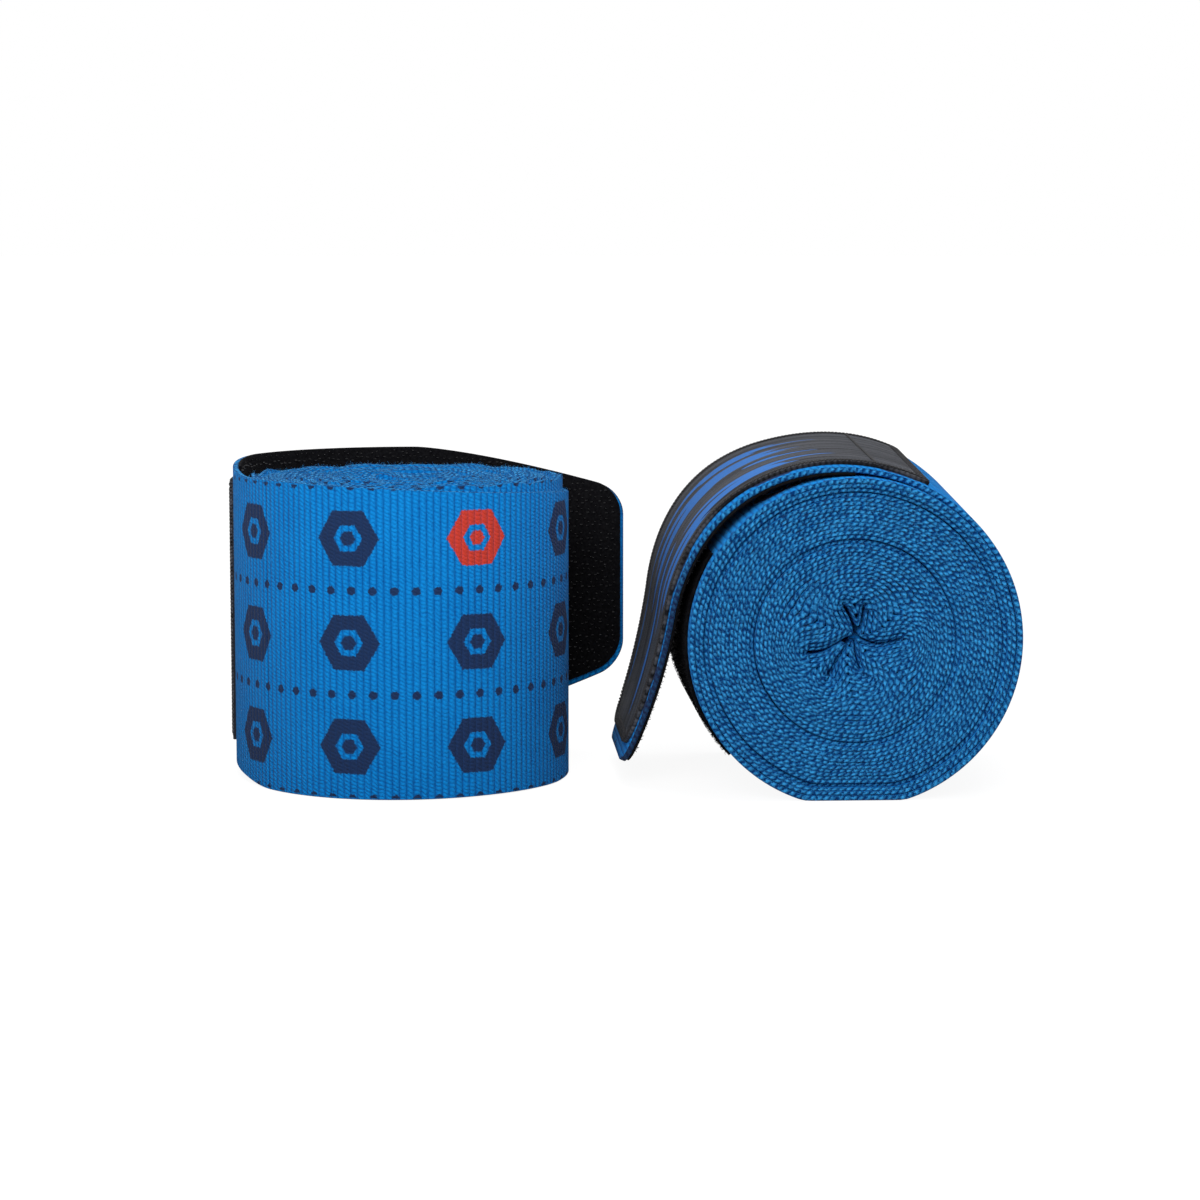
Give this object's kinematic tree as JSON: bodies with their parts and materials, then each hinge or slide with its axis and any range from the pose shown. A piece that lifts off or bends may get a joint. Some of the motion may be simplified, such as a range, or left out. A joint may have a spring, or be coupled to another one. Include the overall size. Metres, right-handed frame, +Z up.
{
  "type": "hand wrap",
  "caption": "Rolled fabric hand wraps for boxing: a spiral-wound woven strip with a crushed core, a thumb loop, and a tapered hook-and-loop closure tongue that peels open.",
  "frame": {"origin": "middle of the underside of the box around the pair, on the floor", "axes": "+X from the standing roll to the lying roll, +Y away from the camera of the picture, +Z up"},
  "size_m": [0.1282, 0.0592, 0.0556],
  "materials": {
    "woven_strip": "ribbed elastic weave, matt",
    "woven_closure": "ribbed elastic weave, matt",
    "label_weave": "fine satin weave",
    "sewing_thread": "twisted thread",
    "hook_tape": "stiff hooks",
    "loop_tape": "soft pile",
    "loop_binding": "woven tape, matt"
  },
  "bodies": {
    "standing_wrap": {"standing_roll": "woven_strip", "standing_loop_patch": "loop_tape", "standing_thumb_loop": "loop_binding"},
    "standing_closure": {"standing_closure_strip": "woven_closure", "standing_label_band": "label_weave", "standing_label_seam": "sewing_thread", "standing_hook_patch": "hook_tape"},
    "lying_wrap": {"lying_roll": "woven_strip", "lying_loop_patch": "loop_tape", "lying_thumb_loop": "loop_binding"},
    "lying_closure": {"lying_closure_strip": "woven_closure", "lying_label_band": "label_weave", "lying_label_seam": "sewing_thread", "lying_hook_patch": "hook_tape"}
  },
  "joints": [
    {"name": "standing_peel", "type": "hinge", "parent": "standing_wrap", "child": "standing_closure", "pos_m": [-0.05521, -0.01756, 0.025], "axis": [0, 0, 1], "range_deg": [0, 120]},
    {"name": "lying_lift", "type": "slide", "parent": "standing_wrap", "child": "lying_wrap", "axis": [0, 0, 1], "range_m": [0, 0.12]},
    {"name": "lying_peel", "type": "hinge", "parent": "lying_wrap", "child": "lying_closure", "pos_m": [0.06123, -0.002, 0.0342], "axis": [-0.0523, 0.9986, 0], "range_deg": [0, 120]}
  ]
}
